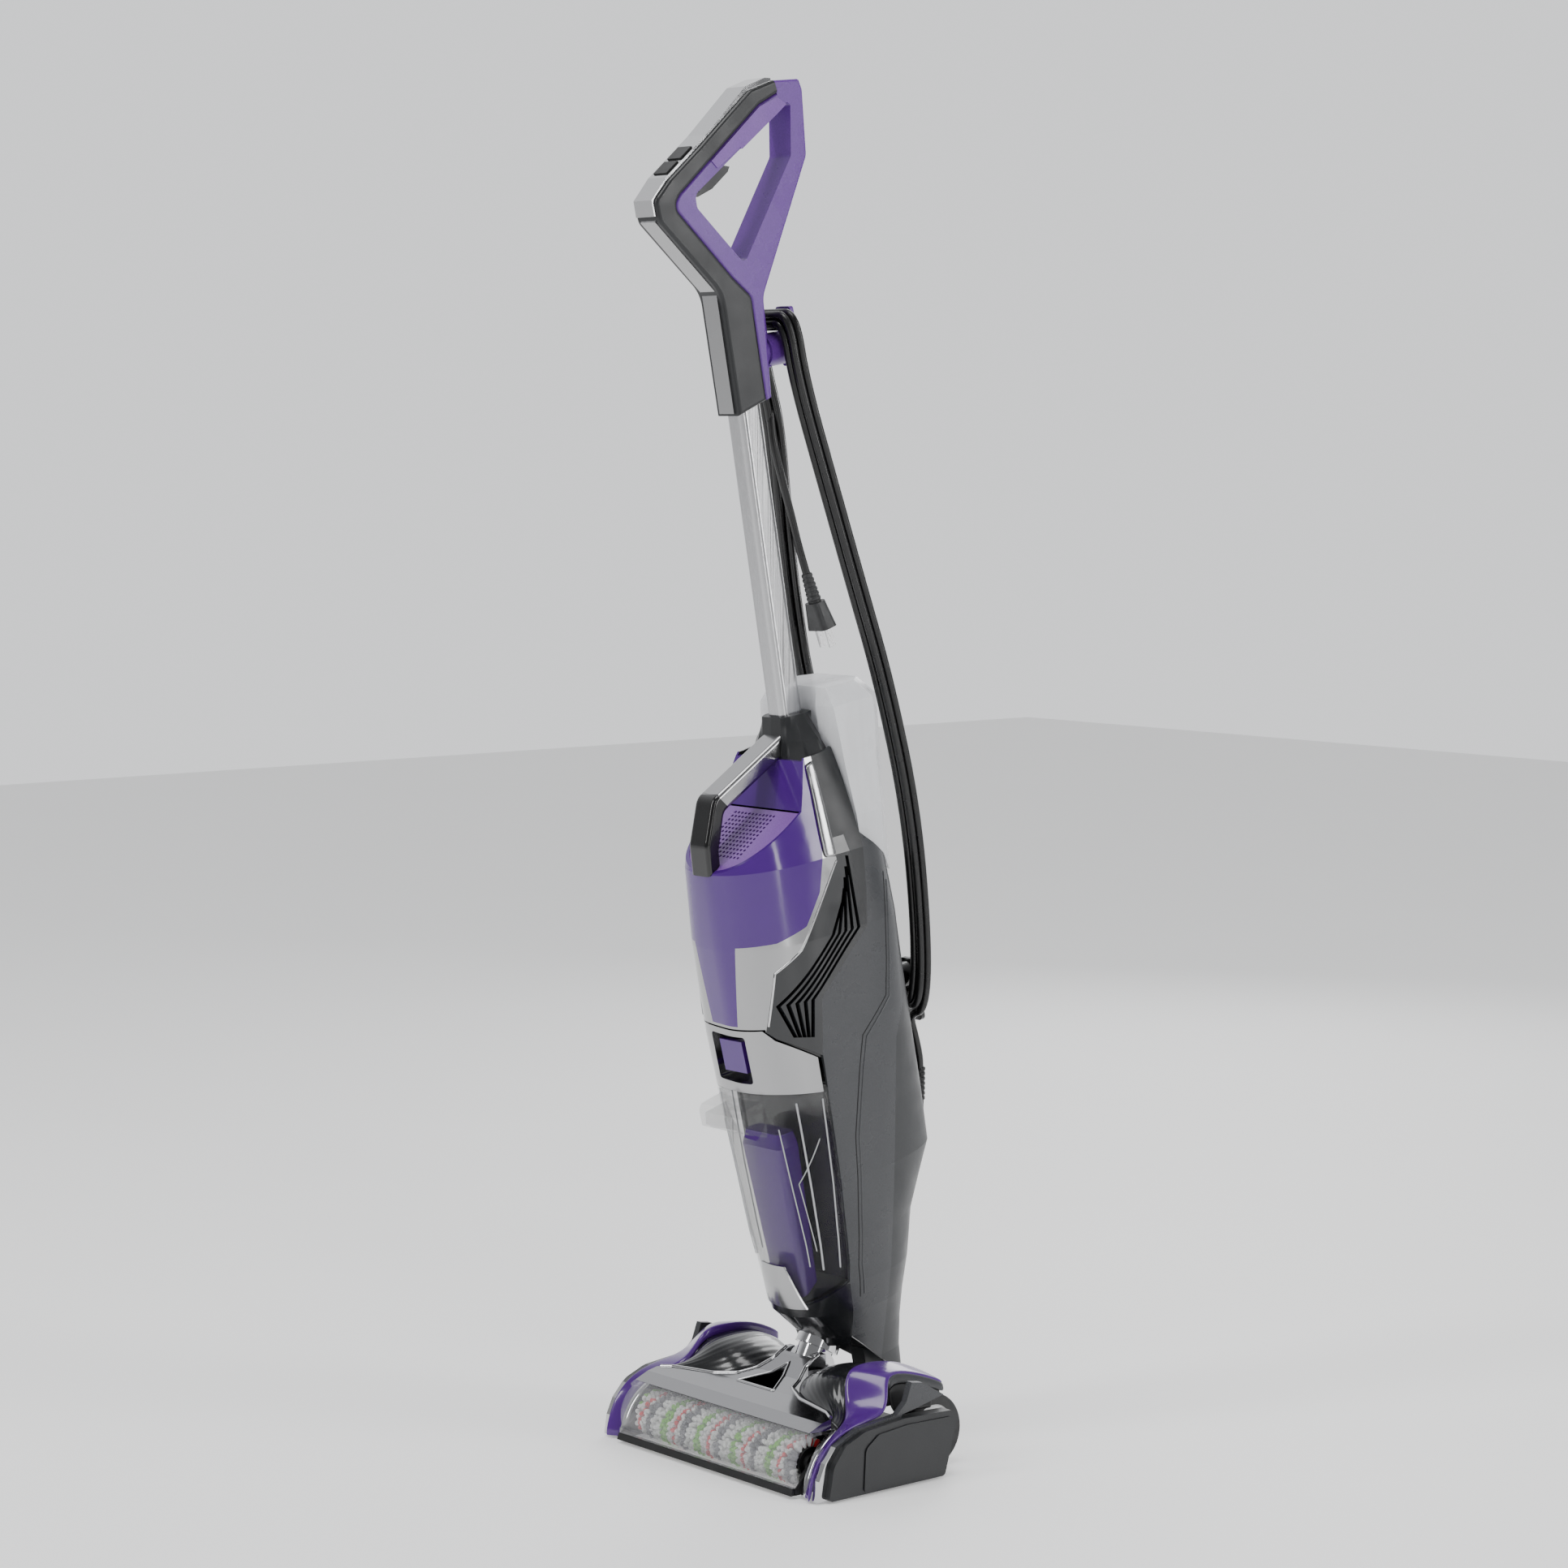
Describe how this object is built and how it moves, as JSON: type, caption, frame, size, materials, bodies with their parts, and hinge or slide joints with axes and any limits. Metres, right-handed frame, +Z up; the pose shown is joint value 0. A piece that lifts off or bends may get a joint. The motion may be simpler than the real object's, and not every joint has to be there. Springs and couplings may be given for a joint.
{
  "type": "upright floor and carpet cleaner",
  "caption": "Upright wet floor and carpet cleaner with a swivelling foot, two water tanks, a loop handle and a cord wound on hooks.",
  "frame": {"origin": "on the floor, under the middle of the machine's box as it stands parked, measured without the cord", "axes": "+Z up, -Y to the front, +Y to the rear where the user stands, +X to the right as seen from the front"},
  "size_m": [0.3, 0.3033, 1.1677],
  "materials": {
    "purple": "gloss moulded",
    "purple_matte": "satin moulded",
    "silver": "metallic",
    "tube_metal": "satin drawn",
    "charcoal": "fine grain",
    "black": "gloss",
    "grey": "metallic grain",
    "dark_shell": "fine grain",
    "clear": "clear smoke",
    "frost": "frosted",
    "cord": "satin",
    "plug": "satin",
    "steel": "brushed",
    "bristle": "tufted, white with green, red and grey",
    "tyre": "matte",
    "white": "gloss"
  },
  "bodies": {
    "foot": {"foot_base": "black", "foot_frame": "purple", "side_panel_left": "charcoal", "side_panel_right": "charcoal", "side_trims": "silver", "suction_duct": "silver", "dome_covers": "charcoal", "brush_motor": "black", "drive_belt": "tyre"},
    "neck": {"neck_yoke": "silver"},
    "upright": {"swivel_neck": "silver", "base_bowl": "charcoal", "rear_shell": "dark_shell", "side_shell_left": "grey", "side_shell_right": "grey", "upper_frame": "silver", "side_vents": "charcoal", "front_panel": "silver", "motor_cover": "purple", "grille": "purple_matte", "collar": "charcoal", "tube": "tube_metal", "carry_handle": "silver", "carry_grip": "black", "tank_bulkhead": "black", "suction_motor": "black", "water_pump": "black", "case_screws": "steel", "handle_shell": "charcoal", "handle_strip": "silver", "handle_bezel": "silver", "handle_loop": "purple_matte", "soft_grip": "purple_matte", "lower_hook": "black", "cord_gland": "black", "cord_lead": "cord", "cord_hank": "cord", "cord_tail": "cord", "plug_body": "plug", "plug_blades": "steel"},
    "dirty_tank": {"dirty_tank": "clear", "tank_lid": "silver", "tank_duct": "purple", "badge_plate": "silver"},
    "latch": {"release_button": "purple"},
    "clean_tank": {"clean_tank": "frost"},
    "tank_cap": {"clean_tank_cap": "purple"},
    "hook": {"upper_hook": "purple_matte"},
    "trigger": {"trigger": "black"},
    "button_lower": {"mode_button_lower": "black"},
    "button_upper": {"mode_button_upper": "black"},
    "brush": {"brush_core": "black", "brush_pile": "bristle"},
    "motor_drive": {"motor_pulley": "steel"},
    "window": {"brush_window": "clear"},
    "fan": {"suction_fan": "black"},
    "wheel_left": {"tyre_left": "tyre", "wheel_hub_left": "white"},
    "wheel_right": {"tyre_right": "tyre", "wheel_hub_right": "white"}
  },
  "joints": [
    {"name": "recline", "type": "hinge", "parent": "foot", "child": "neck", "pos_m": [0, 0.025, 0.072], "axis": [-1, 0, 0], "range_deg": [0, 50]},
    {"name": "swivel", "type": "hinge", "parent": "neck", "child": "upright", "pos_m": [0, 0.025, 0.072], "axis": [0, 0.4695, 0.8829], "range_deg": [-20, 20]},
    {"name": "brush_spin", "type": "hinge", "parent": "foot", "child": "brush", "pos_m": [0, -0.064, 0.024], "axis": [1, 0, 0], "continuous": true},
    {"name": "motor_spin", "type": "hinge", "parent": "foot", "child": "motor_drive", "pos_m": [-0.1, -0.003, 0.026], "axis": [1, 0, 0], "continuous": true},
    {"name": "wheel_left_spin", "type": "hinge", "parent": "foot", "child": "wheel_left", "pos_m": [-0.1135, 0.06, 0.032], "axis": [1, 0, 0], "continuous": true},
    {"name": "wheel_right_spin", "type": "hinge", "parent": "foot", "child": "wheel_right", "pos_m": [0.1135, 0.06, 0.032], "axis": [1, 0, 0], "continuous": true},
    {"name": "window_off", "type": "slide", "parent": "foot", "child": "window", "axis": [0, -1, 0], "range_m": [0, 0.035]},
    {"name": "fan_spin", "type": "hinge", "parent": "upright", "child": "fan", "pos_m": [0, 0.00602, 0.42845], "axis": [0, -0.1736, 0.9848], "continuous": true},
    {"name": "dirty_tank_out", "type": "slide", "parent": "upright", "child": "dirty_tank", "axis": [0, -0.9848, -0.1736], "range_m": [0, 0.06]},
    {"name": "latch_press", "type": "slide", "parent": "dirty_tank", "child": "latch", "axis": [0, 0.1736, -0.9848], "range_m": [0, 0.003], "stiffness_N_per_m": 400, "springref_m": -0.001},
    {"name": "clean_tank_lift", "type": "slide", "parent": "upright", "child": "clean_tank", "axis": [0, -0.1736, 0.9848], "range_m": [0, 0.06]},
    {"name": "tank_cap_turn", "type": "hinge", "parent": "clean_tank", "child": "tank_cap", "pos_m": [0, 0.04884, 0.52536], "axis": [0, 0.5446, 0.8387], "range_deg": [0, 120]},
    {"name": "hook_turn", "type": "hinge", "parent": "upright", "child": "hook", "pos_m": [0, -0.01592, 0.94448], "axis": [0, 0.9848, 0.1736], "range_deg": [0, 180]},
    {"name": "trigger_squeeze", "type": "hinge", "parent": "upright", "child": "trigger", "pos_m": [0, -0.10138, 1.07208], "axis": [1, 0, 0], "range_deg": [0, 8], "stiffness_Nm_per_rad": 0.5, "springref_deg": -5.73},
    {"name": "mode_button_lower_press", "type": "slide", "parent": "upright", "child": "button_lower", "axis": [0, 0.6596, -0.7516], "range_m": [0, 0.0015], "stiffness_N_per_m": 400, "springref_m": -0.0005},
    {"name": "mode_button_upper_press", "type": "slide", "parent": "upright", "child": "button_upper", "axis": [0, 0.6596, -0.7516], "range_m": [0, 0.0015], "stiffness_N_per_m": 400, "springref_m": -0.0005}
  ],
  "couplings": [
    {"joint": "motor_spin", "follows": "brush_spin", "ratio": 1.8}
  ]
}
